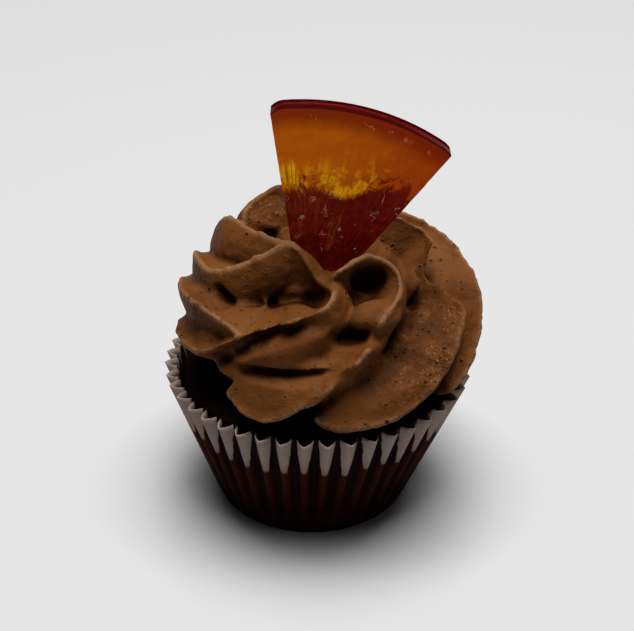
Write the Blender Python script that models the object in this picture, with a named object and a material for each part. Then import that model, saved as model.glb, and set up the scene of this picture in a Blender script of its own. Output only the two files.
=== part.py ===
"""One iced cupcake in its pleated paper case, with a candied orange wedge stood in the icing."""

from math import cos, pi, radians, sin, sqrt

import bpy
import bmesh
import numpy as np
from mathutils import Matrix, Vector

MM = 0.001
GAP = 0.3

# Paper case: a flat base and one wall folded into pleats.
PLEATS = 44
PLEAT_TURN = 3.5
PLEAT_CORNERS = [(-0.27, 1), (0.27, 1), (0.38, -1), (0.62, -1)]
CASE_HEIGHT = 33.5
CASE_BASE_RADIUS = 22.6
CASE_RIM_RADIUS = 34.2
CASE_BASE_SHIFT = -1.5
PLEAT_DEPTH_RIM = 1.4
PLEAT_DEPTH_FOOT = 0.35
FOOT_FOLD_HEIGHT = 1.6
WALL_STEPS = 3
PAPER = 0.4

# Cake: fills the case and domes slightly above its rim.
CAKE_SEGMENTS = 56
CAKE_SHOULDER = 3.2
CAKE_CROWN = 37.4

# Icing: twisted blades stood on a dome about its own axis.
ICING_X = 2.0
DOME_Z = [30, 34, 42, 49, 56, 62, 66, 69, 71, 72]
DOME_R = [33, 34.5, 35.5, 34.7, 31, 25.5, 20, 14, 7, 0.01]
CORE_SHRINK = 12.5
CORE_FOOT = 33.0
CORE_TOP = 62.0
ICING_FLOOR = 34.1
BLADE_DEPTH = 13.0
BLADE_STEPS = 44
UPPER_FLANK = [(0, 0.03), (0.1, 0.12), (0.28, 0.36), (0.5, 0.7), (0.72, 0.95), (0.9, 1.0), (1.1, 0.8)]
LOWER_FLANK = [(0, 0.03), (0.06, 0.22), (0.18, 0.52), (0.36, 0.82), (0.58, 1.0), (0.8, 0.9), (1.0, 0.6), (1.15, 0.3)]
VOXEL = 0.9
ICING_TRIANGLES = 8200

# Dents in the icing: from, to, direction, radius, depth.
DENTS = [
    ((9, -15, 62.8), (13, -15, 63), (-0.1, 0.75, -0.65), 3.3, 4.5),
    ((-22, -12, 58.6), (-18.5, -14.5, 55.6), (0.7, 0.5, -0.4), 1.8, 2.5),
]

# Valleys between the folds, pressed towards the heart: x, y, z and depth along each, then its radius.
HEART = (2, 0, 40)
VALLEYS = [
    ([(26.5, -2.2, 62.5, 3), (27, -4.2, 60.5, 6), (26.8, -6.5, 58, 6), (26, -9.5, 54.5, 4)], 3.4),
    ([(24.1, -9.5, 54, 3), (21.7, -15.8, 50.7, 4), (19, -21.6, 48.8, 4), (16.5, -26.2, 47.2, 4),
      (11.4, -28.6, 45.2, 2.5)], 4.6),
    ([(-3, -15.5, 66.5, 2), (-1, -16.5, 64.5, 4), (0, -17.5, 62, 4.5)], 4.6),
    ([(4, -27, 55.5, 1.5), (7, -26, 55, 3.5), (10, -25, 54.5, 3.5), (12, -25, 55, 2)], 2.6),
    ([(-15, -15, 57, 1), (-8, -15, 57.7, 1.5), (-3, -16.5, 59.5, 2)], 2.6),
]
LEVEL_GROOVES = [
    ([(-22, -22, 46.6, 1.5), (-14, -27, 46.9, 3), (-6, -29.8, 47.4, 3.4), (2, -31, 48.4, 2.6), (7, -30.5, 49.6, 1)], 2.1),
]

# Wedge: a sector of one slice, standing on its point.
WEDGE_POINT = (-3.3, 48.5)
WEDGE_RADIUS = 51.2
WEDGE_LEFT = -7.4
WEDGE_RIGHT = 37.5
WEDGE_FRONT = -9.2
WEDGE_THICK = 4.3
WEDGE_BEVEL = 0.7


def clearScene():
    for item in list(bpy.data.objects):
        bpy.data.objects.remove(item)


def material(name, colour, roughness):
    made = bpy.data.materials.new(name)
    made.use_nodes = True
    shader = made.node_tree.nodes["Principled BSDF"]
    shader.inputs["Base Color"].default_value = (*colour, 1)
    shader.inputs["Roughness"].default_value = roughness
    return made


def addObject(name, bm):
    """Recalculates the normals, writes the mesh in metres and links it."""
    bmesh.ops.recalc_face_normals(bm, faces=bm.faces)
    bmesh.ops.scale(bm, vec=(MM, MM, MM), verts=bm.verts)
    mesh = bpy.data.meshes.new(name)
    bm.to_mesh(mesh)
    bm.free()
    made = bpy.data.objects.new(name, mesh)
    bpy.context.collection.objects.link(made)
    return made


def asCutter(item):
    item.hide_render = True
    item.display_type = "WIRE"
    return item


def joinRings(bm, rings):
    """Skins a run of rings and closes both ends."""
    last = None
    for ring in rings:
        points = [bm.verts.new(p) for p in ring]
        if last is None:
            bm.faces.new(points)
        else:
            for i in range(len(points)):
                j = (i + 1) % len(points)
                bm.faces.new((last[i], last[j], points[j], points[i]))
        last = points
    bm.faces.new(last)


def circle(radius, z, segments, x=0.0):
    return [
        Vector((x + radius * cos(2 * pi * k / segments), radius * sin(2 * pi * k / segments), z))
        for k in range(segments)
    ]


def shiftAt(z):
    """How far the case's axis has moved along x at height z."""
    return CASE_BASE_SHIFT * max(0.0, 1 - z / CASE_HEIGHT)


def pleatedRing(radius, depth, z):
    """One ring of the folded wall: each fold stands out by depth between valleys as deep."""
    ring = []
    for fold in range(PLEATS):
        for place, side in PLEAT_CORNERS:
            angle = 2 * pi * (fold + place) / PLEATS - pi / 2 + radians(PLEAT_TURN)
            reach = radius + depth * side
            ring.append(Vector((shiftAt(z) + reach * cos(angle), reach * sin(angle), z)))
    return ring


def insetRing(ring, amount):
    """The same ring moved inward by amount, square to its edges."""
    moved = []
    for i, point in enumerate(ring):
        before = (point - ring[i - 1]).normalized()
        after = (ring[(i + 1) % len(ring)] - point).normalized()
        left = Vector((-before.y, before.x, 0))
        right = Vector((-after.y, after.x, 0))
        moved.append(point + (left + right) * amount / (1 + left.dot(right)))
    return moved


def addSheet(bm, rings):
    """Skins the rings with triangles and closes the first one. Returns the points of the last."""
    last = None
    for ring in rings:
        points = [bm.verts.new(p) for p in ring]
        if last is None:
            bm.faces.new(points)
        else:
            for i in range(len(points)):
                j = (i + 1) % len(points)
                bm.faces.new((last[i], last[j], points[j]))
                bm.faces.new((last[i], points[j], points[i]))
        last = points
    return last


def makeCase():
    outer = [pleatedRing(CASE_BASE_RADIUS, 0.0, 0.0)]
    for step in range(WALL_STEPS + 1):
        share = step / WALL_STEPS
        radius = CASE_BASE_RADIUS + 0.5 + (CASE_RIM_RADIUS - CASE_BASE_RADIUS - 0.5) * share
        depth = PLEAT_DEPTH_FOOT + (PLEAT_DEPTH_RIM - PLEAT_DEPTH_FOOT) * share
        outer.append(pleatedRing(radius, depth, FOOT_FOLD_HEIGHT + (CASE_HEIGHT - FOOT_FOLD_HEIGHT) * share))
    inner = [insetRing(ring, PAPER) for ring in outer]
    inner[0] = [p + Vector((0, 0, PAPER)) for p in inner[0]]
    bm = bmesh.new()
    outerRim = addSheet(bm, outer)
    innerRim = addSheet(bm, inner)
    for i in range(len(outerRim)):
        j = (i + 1) % len(outerRim)
        bm.faces.new((outerRim[i], outerRim[j], innerRim[j], innerRim[i]))
    return addObject("paper_case", bm)


def cakeProfile(grow):
    """Radius and height up the cake, pushed out by grow."""
    low = CASE_BASE_RADIUS - PAPER - GAP - 0.1
    rim = CASE_RIM_RADIUS - PLEAT_DEPTH_RIM - PAPER - GAP - 0.2
    crown = CAKE_CROWN + grow
    edge = CASE_HEIGHT - CAKE_SHOULDER
    return [
        (low, PAPER + GAP),
        (rim - 0.9 + grow, edge),
        (rim - 0.6 + grow, edge + 1.4 + grow),
        (rim - 2.0 + grow, edge + 3.4 + grow),
        (rim - 5.5, edge + 4.9 + grow),
        (18.0, crown - 1.1),
        (9.0, crown - 0.3),
        (2.0, crown),
    ]


def makeCake():
    bm = bmesh.new()
    joinRings(bm, [circle(r, z, CAKE_SEGMENTS, shiftAt(z)) for r, z in cakeProfile(0.0)])
    return addObject("cake", bm)


def domeRadius(z):
    return float(np.interp(z, DOME_Z, DOME_R))


def onDome(turn, z, radius):
    return Vector((ICING_X + radius * cos(radians(turn)), radius * sin(radians(turn)), z))


def smoothRun(points, count):
    """A Catmull-Rom run through the points."""
    knots = [Vector(p) for p in points]
    knots = [knots[0] * 2 - knots[1]] + knots + [knots[-1] * 2 - knots[-2]]
    spans = len(knots) - 3
    run = []
    for i in range(count):
        u = i / (count - 1) * spans
        k = min(int(u), spans - 1)
        f = u - k
        a, b, c, d = knots[k:k + 4]
        bend = 2 * a - 5 * b + 4 * c - d
        run.append(0.5 * (2 * b + (c - a) * f + bend * f * f + (3 * b - a - 3 * c + d) * f ** 3))
    return run


def lawAt(law, where):
    return float(np.interp(where, [p[0] for p in law], [p[1] for p in law]))


def bladeFrames(path, turns):
    """Direction, inward and across at each step, across kept pointing up the dome."""
    frames = []
    last = len(path) - 1
    for i, point in enumerate(path):
        along = (path[min(i + 1, last)] - path[max(i - 1, 0)]).normalized()
        slope = (domeRadius(point.z + 1) - domeRadius(point.z - 1)) / 2
        inward = -Vector((cos(turns[i]), sin(turns[i]), -slope))
        inward = (inward - along * inward.dot(along)).normalized()
        frames.append([inward, along.cross(inward).normalized()])
    best = max(range(len(frames)), key=lambda i: abs(frames[i][1].z))
    if frames[best][1].z < 0:
        frames[best][1].negate()
    for i in list(range(best + 1, len(frames))):
        if frames[i][1].dot(frames[i - 1][1]) < 0:
            frames[i][1].negate()
    for i in range(best - 1, -1, -1):
        if frames[i][1].dot(frames[i + 1][1]) < 0:
            frames[i][1].negate()
    return frames


def addBlade(bm, crest, upper, lower, lean, depth=BLADE_DEPTH, upLaw=((0, 1),), downLaw=((0, 1),), ends=(3, 3)):
    """Sweeps one leaning blade along its crest, given as turn, height and radius. Returns its frames."""
    fine = smoothRun(crest, 240)
    world = [onDome(*p) for p in fine]
    reach = [0.0]
    for a, b in zip(world, world[1:]):
        reach.append(reach[-1] + (b - a).length)
    steps = np.linspace(0, reach[-1], BLADE_STEPS)
    path = [Vector([float(np.interp(s, reach, [w[i] for w in world])) for i in range(3)]) for s in steps]
    turns = [radians(float(np.interp(s, reach, [p[0] for p in fine]))) for s in steps]
    rings = []
    frames = bladeFrames(path, turns)
    for i, (inward, across) in enumerate(frames):
        part = i / (BLADE_STEPS - 1)
        tilt = radians(lawAt(lean, part))
        down = (inward * cos(tilt) + across * sin(tilt)).normalized()
        side = (across * cos(tilt) - inward * sin(tilt)).normalized()
        close = min(1.0, (steps[i] + 0.4) / ends[0], (reach[-1] - steps[i] + 0.8) / ends[1])
        close = sqrt(max(0.0, 1 - (1 - close) ** 2))
        sink = (1 - close) * 2.2
        up = upper * lawAt(upLaw, part)
        low = lower * lawAt(downLaw, part)
        outline = [(depth * d, up * w) for d, w in UPPER_FLANK]
        outline += [(depth * d, -low * w) for d, w in reversed(LOWER_FLANK)]
        rings.append([path[i] + down * (d + sink) + side * (w * close) for d, w in outline])
    joinRings(bm, rings)
    return [(point, inward, across) for point, (inward, across) in zip(path, frames)]


def undercut(steps, first, last, drop, push):
    """A valley's line just below a crest, between two shares of its length."""
    line = []
    for i, (point, inward, across) in enumerate(steps):
        share = (i / (len(steps) - 1) - first) / (last - first)
        if 0 <= share <= 1:
            line.append((*(point - across * drop + inward * 0.5), push * sin(pi * share) ** 0.5))
    return line


def plainCrest(turn):
    """The crest that the blades out of sight share, moved round by turn."""
    law = [
        (0, 69.3, 14), (0, 67.2, 18.5), (0, 65, 21.6), (-5, 61.6, 25.8), (-19, 58.7, 28.7), (-31, 55, 31.5),
        (-42, 50.5, 33.8), (-52, 46, 35), (-66, 40.5, 35.3), (-80, 38, 35),
    ]
    return [(turn + a, z, r) for a, z, r in law]


def addBlades(bm):
    plain = ((0, 0.45), (0.3, 0.6), (0.45, 0.9), (0.7, 1))
    broad = ((0, 0.5), (0.15, 0.75), (0.3, 1))
    # Front blade: hooks round a deep hole at the top and ends blunt at the lower left.
    addBlade(bm, [
        (-92, 65, 19), (-80, 67.3, 18), (-66, 68.4, 17), (-57, 68.2, 17), (-48.5, 66.9, 18.3), (-45, 65, 21.2),
        (-49, 62.9, 24), (-57.5, 61, 26.4), (-66, 59, 28.4), (-73, 55.4, 31.3), (-83, 50.8, 33.6),
        (-92, 46, 35), (-101, 42, 35.4), (-108, 39, 35.4), (-118, 38, 35.2), (-131, 41, 34),
    ], 8, 6.6, ((0, 5), (0.62, 24)), upLaw=((0, 0.3), (0.45, 0.3), (0.6, 0.42), (0.75, 0.8), (1, 1)),
        downLaw=((0, 0.4), (0.15, 0.65), (0.25, 0.95), (0.4, 1), (0.55, 1), (0.75, 0.8), (1, 0.5)), ends=(3, 1.5))
    # The blade above it, whose overhang shades the front.
    steps = addBlade(bm, [
        (-128, 69.5, 13), (-112, 69, 14.8), (-98, 67, 18.3), (-88, 65, 21.6), (-88, 63, 24), (-94, 61.2, 26.2),
        (-106, 59.1, 28.5), (-117, 57, 30.3), (-125, 54.8, 31.9), (-132, 52.1, 33.6), (-140, 49, 34.9),
        (-149, 47.3, 35), (-163, 46, 34.8), (-178, 44.5, 34.3),
    ], 7.5, 9.5, ((0, 5), (0.3, 10), (0.42, 9), (0.8, 9), (1, 12)),
        upLaw=((0, 0.35), (0.2, 0.2), (0.27, 0.3), (0.36, 0.85), (1, 1)),
        downLaw=((0, 0.4), (0.2, 0.55), (0.25, 0.75), (0.32, 1.05), (0.42, 1.15), (0.6, 1.1), (0.7, 0.65), (0.78, 0.4),
                 (1, 0.4)))
    shade = undercut(steps, 0.3, 0.72, 2.0, 4.6)
    # The long one down the right to the bottom of the front.
    addBlade(bm, [
        (22, 69, 10), (12, 68.9, 16), (8, 65.3, 22), (-3, 63.6, 24.2), (-10, 60.9, 27), (-15, 57.5, 29.8),
        (-21, 53, 32.7), (-31, 50.7, 33.8), (-40, 46.5, 34.8), (-50, 42.5, 35.3), (-60, 39.6, 35.3),
        (-72, 37.6, 35), (-86, 37.5, 34.5), (-95, 39.5, 33.5),
    ], 6, 7, ((0, 0), (0.2, 6), (0.28, 14), (0.36, 12), (0.62, 10)), ends=(3, 1.5),
        upLaw=((0, 0.3), (0.2, 0.3), (0.35, 0.55), (0.6, 0.9), (0.8, 1.3), (1, 1.5)),
        downLaw=((0, 0.45), (0.2, 0.3), (0.28, 0.2), (0.36, 0.3), (0.45, 0.8), (0.7, 1)))
    # Two that climb the left side to the knot.
    addBlade(bm, [
        (-118, 69, 12.5), (-130, 69, 14.5), (-138, 67.4, 18), (-146, 65.2, 21.5), (-155, 62.6, 25),
        (-166, 61, 27.5), (-180, 60, 29.3), (-196, 56.5, 31.5), (-208, 51, 33.8), (-220, 46, 35), (-235, 41, 35),
    ], 5.5, 8.5, ((0, 5), (0.62, 12)), upLaw=broad, downLaw=((0, 0.45), (0.15, 0.6), (0.3, 1)))
    addBlade(bm, [
        (-118, 69.5, 12.5), (-135, 69.5, 14), (-153, 69.2, 15), (-168, 68.8, 16.8), (-182, 69.3, 20.3),
        (-194, 67.2, 23.6), (-207, 62.2, 27.9), (-220, 56.5, 31.6), (-232, 50, 33.7), (-246, 45, 34.8), (-262, 40, 35),
    ], 4.5, 8.5, ((0, 5), (0.62, 8)), upLaw=broad, downLaw=broad)
    # Short lobes: the last fold behind the wedge, and the one low on the left.
    addBlade(bm, [
        (172, 65, 19), (163, 68.5, 19.5), (148, 69.4, 19), (128, 71.2, 17.5), (102, 72, 15), (75, 71, 12),
    ], 4, 6, ((0, 0),), depth=9)
    addBlade(bm, [
        (-122, 51, 28), (-126, 54, 30.5), (-134, 56.2, 31.4), (-146, 57, 31.8), (-160, 56.2, 32.6),
        (-176, 54.2, 33.5), (-190, 51, 34.2), (-206, 46.5, 35), (-222, 42, 35),
    ], 4.5, 6, ((0, 10),), depth=10, downLaw=((0, 0.5), (0.25, 0.7), (0.45, 1.1), (1, 1.1)))
    # The outermost fold on the right, and the two behind.
    addBlade(bm, [
        (50, 65.5, 19.5), (38, 63, 24.4), (27, 60.3, 28.8), (14, 57.5, 31.3), (7, 55.5, 33), (1, 53.5, 34.2),
        (-4, 51, 35), (-9, 48.5, 35.3), (-17, 44.5, 35.4), (-28, 40.5, 35.2), (-40, 38, 34.8),
    ], 6, 7, ((0, 5),), upLaw=plain, downLaw=plain)
    for turn in (78, 122):
        addBlade(bm, plainCrest(turn), 7, 7, ((0, 0), (0.62, 18)), upLaw=plain, downLaw=plain)
    return [(shade, 2.8)]


def addLump(bm, centre, radii, turn):
    made = bmesh.ops.create_icosphere(bm, subdivisions=3, radius=1)["verts"]
    place = Matrix.Translation(centre) @ Matrix.Rotation(radians(turn), 4, "Z") @ Matrix.Diagonal((*radii, 1))
    bmesh.ops.transform(bm, matrix=place, verts=made)


def pressDents(bm):
    """Pushes the surface in along each dent, most along its middle line."""
    for start, end, aim, radius, depth in DENTS:
        aim = Vector(aim).normalized()
        start = Vector(start)
        line = Vector(end) - start
        line -= aim * line.dot(aim)
        for vertex in bm.verts:
            off = vertex.co / MM - start
            along = off.dot(aim)
            flat = off - aim * along
            share = min(1, max(0, flat.dot(line) / line.length_squared))
            side = (flat - line * share).length / radius
            if side < 1 and -9 < along < depth + 7:
                vertex.co += aim * (MM * depth * (1 - side * side) ** 1.5)


def pressValleys(bm, undercuts):
    """Presses the surface in along each valley, which is measured as seen from the heart.

    Valleys go towards the heart and undercuts level towards the axis.
    """
    middle = np.array(HEART, float)
    points = np.array([vertex.co for vertex in bm.verts]) / MM
    away = points - middle
    far = np.linalg.norm(away, axis=1)
    away /= far[:, None]
    level = -away * (1, 1, 0)
    level = level / np.linalg.norm(level, axis=1)[:, None] + (0, 0, 0.15)
    for aim, path, radius in [(-away, *v) for v in VALLEYS] + [(level, *v) for v in LEVEL_GROOVES + undercuts]:
        near = np.full(len(points), 1e9)
        amount = np.zeros(len(points))
        for start, end in zip(path, path[1:]):
            a, b = np.array(start[:3], float) - middle, np.array(end[:3], float) - middle
            line = b - a
            height = (np.linalg.norm(a) + np.linalg.norm(b)) / 2
            flat = away * height
            share = np.clip((flat - a) @ line / line.dot(line), 0, 1)
            gap = np.linalg.norm(flat - a - np.outer(share, line), axis=1)
            gap[far < height - 8] = 1e9
            closer = gap < near
            near = np.where(closer, gap, near)
            amount = np.where(closer, start[3] + (end[3] - start[3]) * share, amount)
        points += aim * (amount * np.clip(1 - (near / radius) ** 2, 0, 1) ** 2)[:, None]
    for vertex, place in zip(bm.verts, points * MM):
        vertex.co = Vector(place)


def largestBody(bm):
    """Deletes every loose body but the largest."""
    left = set(bm.verts)
    bodies = []
    while left:
        body = {left.pop()}
        front = list(body)
        while front:
            vertex = front.pop()
            for edge in vertex.link_edges:
                other = edge.other_vert(vertex)
                if other not in body:
                    body.add(other)
                    front.append(other)
        left -= body
        bodies.append(body)
    keep = max(bodies, key=len)
    bmesh.ops.delete(bm, geom=[v for v in bm.verts if v not in keep], context="VERTS")


def evaluatedMesh(item, name):
    """The mesh that the modifiers of item give, with item removed."""
    graph = bpy.context.evaluated_depsgraph_get()
    mesh = bpy.data.meshes.new_from_object(item.evaluated_get(graph))
    mesh.name = name
    bpy.data.objects.remove(item)
    return mesh


def cutBy(item, cutter):
    step = item.modifiers.new(cutter.name, "BOOLEAN")
    step.operation = "DIFFERENCE"
    step.object = cutter
    step.solver = "EXACT"


def makeIcing(cutters):
    bm = bmesh.new()
    heights = np.linspace(CORE_FOOT, CORE_TOP, 18)
    joinRings(bm, [circle(max(domeRadius(z) - CORE_SHRINK, 0.5), z, 48, ICING_X) for z in heights])
    shaded = addBlades(bm)
    addLump(bm, (12.0, -21.5, 57.6), (6.0, 4.0, 3.4), 25)
    addLump(bm, (2.0, 2.0, 60.0), (13.0, 12.0, 6.5), 0)
    rough = addObject("rough", bm)
    step = rough.modifiers.new("fuse", "REMESH")
    step.mode = "VOXEL"
    step.voxel_size = VOXEL * MM
    step = rough.modifiers.new("soften", "SMOOTH")
    step.iterations = 2
    mesh = evaluatedMesh(rough, "fused")
    bm = bmesh.new()
    bm.from_mesh(mesh)
    largestBody(bm)
    pressValleys(bm, shaded)
    pressDents(bm)
    bmesh.ops.triangulate(bm, faces=bm.faces)
    count = len(bm.faces)
    bm.to_mesh(mesh)
    bm.free()
    fused = bpy.data.objects.new("fused", mesh)
    bpy.context.collection.objects.link(fused)
    step = fused.modifiers.new("fewer", "DECIMATE")
    step.ratio = ICING_TRIANGLES / count
    icing = bpy.data.objects.new("icing", evaluatedMesh(fused, "icing"))
    bpy.context.collection.objects.link(icing)
    for cutter in cutters:
        cutBy(icing, cutter)
    mesh = evaluatedMesh(icing, "frosting")
    bm = bmesh.new()
    bm.from_mesh(mesh)
    largestBody(bm)
    bm.to_mesh(mesh)
    bm.free()
    made = bpy.data.objects.new("frosting", mesh)
    bpy.context.collection.objects.link(made)
    return made


def wedgeOutline(grow):
    """The sector in its own plane, x across and z up, pushed out by grow."""
    px, pz = WEDGE_POINT
    steps = 22
    middle = radians((WEDGE_LEFT + WEDGE_RIGHT) / 2)
    half = radians((WEDGE_RIGHT - WEDGE_LEFT) / 2)
    back = grow / sin(half)
    points = [(px - sin(middle) * back, pz - cos(middle) * back)]
    for k in range(steps + 1):
        share = k / steps
        turn = radians(WEDGE_LEFT + (WEDGE_RIGHT - WEDGE_LEFT) * share)
        reach = WEDGE_RADIUS + 0.2 * sin(9 * share) + grow
        x = px + reach * sin(turn)
        z = pz + reach * cos(turn)
        if k == 0:
            x -= grow * cos(turn)
            z += grow * sin(turn)
        if k == steps:
            x += grow * cos(turn)
            z -= grow * sin(turn)
        points.append((x, z))
    return points


def makeWedge(name, grow, bevel):
    outline = wedgeOutline(grow)
    bm = bmesh.new()
    front = WEDGE_FRONT - grow
    face = bm.faces.new([bm.verts.new((x, front, z)) for x, z in outline])
    made = bmesh.ops.extrude_face_region(bm, geom=[face])["geom"]
    thick = WEDGE_THICK + 2 * grow
    bmesh.ops.translate(bm, vec=(0, thick, 0), verts=[v for v in made if isinstance(v, bmesh.types.BMVert)])
    bmesh.ops.recalc_face_normals(bm, faces=bm.faces)
    if bevel:
        sharp = [e for e in bm.edges if e.calc_face_angle(0) > radians(30)]
        bmesh.ops.bevel(
            bm, geom=sharp, offset=bevel, segments=3, profile=0.5, affect="EDGES", clamp_overlap=True, material=-1
        )
    return addObject(name, bm)


def makeCutters():
    """What the icing is cut by: the cake and rim below it, and the wedge stood in it."""
    bm = bmesh.new()
    profile = [(46.0, 8.0), (46.0, ICING_FLOOR)]
    profile += [(r, z) for r, z in cakeProfile(GAP) if z > ICING_FLOOR + 0.2]
    rings = [circle(r, z, CAKE_SEGMENTS) for r, z in profile]
    joinRings(bm, rings)
    below = asCutter(addObject("below_icing", bm))
    pocket = asCutter(makeWedge("wedge_pocket", GAP, 0.0))
    return [below, pocket]


clearScene()
case = makeCase()
case.data.materials.append(material("paper", (0.62, 0.58, 0.55), 0.7))
cake = makeCake()
cake.data.materials.append(material("dark_crumb", (0.025, 0.012, 0.009), 0.85))
icing = makeIcing(makeCutters())
icing.data.materials.clear()
icing.data.materials.append(material("cocoa_icing", (0.075, 0.03, 0.015), 0.5))
wedge = makeWedge("orange_wedge", 0.0, WEDGE_BEVEL)
wedge.data.materials.append(material("candied_orange", (0.6, 0.16, 0.01), 0.2))
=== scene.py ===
from math import cos, pi, radians, sin, sqrt

import bmesh
import bpy
import numpy as np
from mathutils import Matrix, Vector, bvhtree, kdtree, noise


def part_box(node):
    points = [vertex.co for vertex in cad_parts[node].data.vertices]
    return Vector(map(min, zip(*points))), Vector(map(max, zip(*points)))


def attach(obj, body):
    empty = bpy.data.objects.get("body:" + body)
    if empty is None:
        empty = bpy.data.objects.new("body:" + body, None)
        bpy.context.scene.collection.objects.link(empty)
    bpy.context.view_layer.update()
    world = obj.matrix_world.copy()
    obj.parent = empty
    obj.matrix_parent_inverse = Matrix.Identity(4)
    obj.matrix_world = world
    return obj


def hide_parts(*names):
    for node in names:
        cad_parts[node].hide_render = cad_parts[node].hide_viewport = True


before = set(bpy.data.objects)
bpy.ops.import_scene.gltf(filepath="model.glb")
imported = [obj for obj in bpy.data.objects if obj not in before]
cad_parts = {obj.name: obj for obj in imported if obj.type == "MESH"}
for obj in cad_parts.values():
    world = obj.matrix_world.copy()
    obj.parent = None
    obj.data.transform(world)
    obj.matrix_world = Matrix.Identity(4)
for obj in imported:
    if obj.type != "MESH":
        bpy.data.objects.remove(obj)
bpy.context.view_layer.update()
mm = 0.001


# Helpers for meshes. Shapes are worked out in millimetres and scaled once, when the piece is made.

def makeObject(name, bm, finish=None):
    bmesh.ops.scale(bm, vec=(mm, mm, mm), verts=bm.verts)
    mesh = bpy.data.meshes.new(name)
    bm.to_mesh(mesh)
    bm.free()
    return linkMesh(name, mesh, finish)


def linkMesh(name, mesh, finish=None):
    mesh.name = name
    mesh.materials.clear()
    if finish:
        mesh.materials.append(finish)
    mesh.shade_smooth()
    item = bpy.data.objects.new(name, mesh)
    bpy.context.scene.collection.objects.link(item)
    return item


def applyModifiers(item):
    graph = bpy.context.evaluated_depsgraph_get()
    mesh = bpy.data.meshes.new_from_object(item.evaluated_get(graph))
    bpy.data.objects.remove(item)
    return mesh


def sweepRings(bm, rings):
    # a capped circle is extruded ring by ring, so both ends stay closed
    start = bmesh.ops.create_circle(bm, cap_ends=True, segments=len(rings[0]), radius=1)
    cap = start["verts"][0].link_faces[0]
    for vertex, place in zip(cap.verts, rings[0]):
        vertex.co = place
    for i, ring in enumerate(rings[1:]):
        made = bmesh.ops.extrude_face_region(bm, geom=[cap])["geom"]
        if i:
            # the extrusion leaves its old cap inside, which would spoil a cut
            bmesh.ops.delete(bm, geom=[cap], context="FACES_ONLY")
        cap = picked(made, bmesh.types.BMFace)[0]
        for vertex, place in zip(cap.verts, ring):
            vertex.co = place


def picked(made, kind):
    return [g for g in made if isinstance(g, kind)]


def circlePoints(radius, height, count, middle=0.0):
    turns = [2 * pi * k / count for k in range(count)]
    return [Vector((middle + radius * cos(t), radius * sin(t), height)) for t in turns]


def readPoints(mesh):
    flat = np.empty(len(mesh.vertices) * 3, np.float32)
    mesh.vertices.foreach_get("co", flat)
    return flat.reshape(-1, 3)


def writePoints(mesh, points):
    mesh.vertices.foreach_set("co", points.astype(np.float32).ravel())
    mesh.update()


def pointNormals(mesh):
    flat = np.empty(len(mesh.vertices) * 3, np.float32)
    mesh.vertex_normals.foreach_get("vector", flat)
    return flat.reshape(-1, 3)


def addAttribute(mesh, name, values):
    layer = mesh.attributes.new(name, "FLOAT", "POINT")
    layer.data.foreach_set("value", np.asarray(values, np.float32))


def wander(points, scale, seed, depth=2):
    # soft noise at each point, about -1 to 1
    shift = Vector((seed * 13.7, seed * -7.1, seed * 3.3))
    return np.array([noise.fractal(Vector(p) * scale + shift, 1.0, 2.0, depth) for p in points.tolist()])


# Helpers for materials

def startMaterial(name):
    made = bpy.data.materials.new(name)
    made.use_nodes = True
    tree = made.node_tree
    return made, tree, tree.nodes["Principled BSDF"]


def node(tree, kind, **values):
    made = tree.nodes.new(kind)
    for key, value in values.items():
        if hasattr(made, key):
            setattr(made, key, value)
        else:
            made.inputs[key.replace("_", " ")].default_value = value
    return made


def link(tree, start, end):
    tree.links.new(start, end)


def mathNode(tree, operation, first, second=None, clamp=False):
    made = tree.nodes.new("ShaderNodeMath")
    made.operation = operation
    made.use_clamp = clamp
    for socket, value in zip(made.inputs, (first, second)):
        if value is None:
            continue
        if isinstance(value, (int, float)):
            socket.default_value = value
        else:
            tree.links.new(value, socket)
    return made.outputs[0]


def times(tree, first, second):
    return mathNode(tree, "MULTIPLY", first, second)


def plus(tree, first, second, clamp=False):
    return mathNode(tree, "ADD", first, second, clamp)


def minus(tree, first, second):
    return mathNode(tree, "SUBTRACT", first, second)


def over(tree, first, second):
    return mathNode(tree, "DIVIDE", first, second)


def most(tree, first, second):
    return mathNode(tree, "MAXIMUM", first, second)


def ramp(tree, value, low, high, outLow=0.0, outHigh=1.0):
    made = tree.nodes.new("ShaderNodeMapRange")
    made.interpolation_type = "SMOOTHSTEP"
    for name, number in (("From Min", low), ("From Max", high), ("To Min", outLow), ("To Max", outHigh)):
        made.inputs[name].default_value = number
    tree.links.new(value, made.inputs["Value"])
    return made.outputs["Result"]


def mixColour(tree, share, first, second, blend="MIX"):
    made = tree.nodes.new("ShaderNodeMix")
    made.data_type = "RGBA"
    made.blend_type = blend
    for socket, value in ((made.inputs[0], share), (made.inputs[6], first), (made.inputs[7], second)):
        if isinstance(value, tuple):
            socket.default_value = (*value, 1.0)
        elif isinstance(value, (int, float)):
            socket.default_value = value
        else:
            tree.links.new(value, socket)
    return made.outputs[2]


def noiseValue(tree, vector, scale, detail=2.0, roughness=0.5, distortion=0.0):
    made = tree.nodes.new("ShaderNodeTexNoise")
    made.inputs["Scale"].default_value = scale
    made.inputs["Detail"].default_value = detail
    made.inputs["Roughness"].default_value = roughness
    made.inputs["Distortion"].default_value = distortion
    tree.links.new(vector, made.inputs["Vector"])
    return made.outputs["Fac"]


def attributeValue(tree, name):
    made = tree.nodes.new("ShaderNodeAttribute")
    made.attribute_name = name
    return made.outputs["Fac"]


def bumpInto(tree, shader, height, strength, distance):
    made = tree.nodes.new("ShaderNodeBump")
    made.inputs["Strength"].default_value = strength
    made.inputs["Distance"].default_value = distance
    tree.links.new(height, made.inputs["Height"])
    tree.links.new(made.outputs["Normal"], shader.inputs["Normal"])


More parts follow.
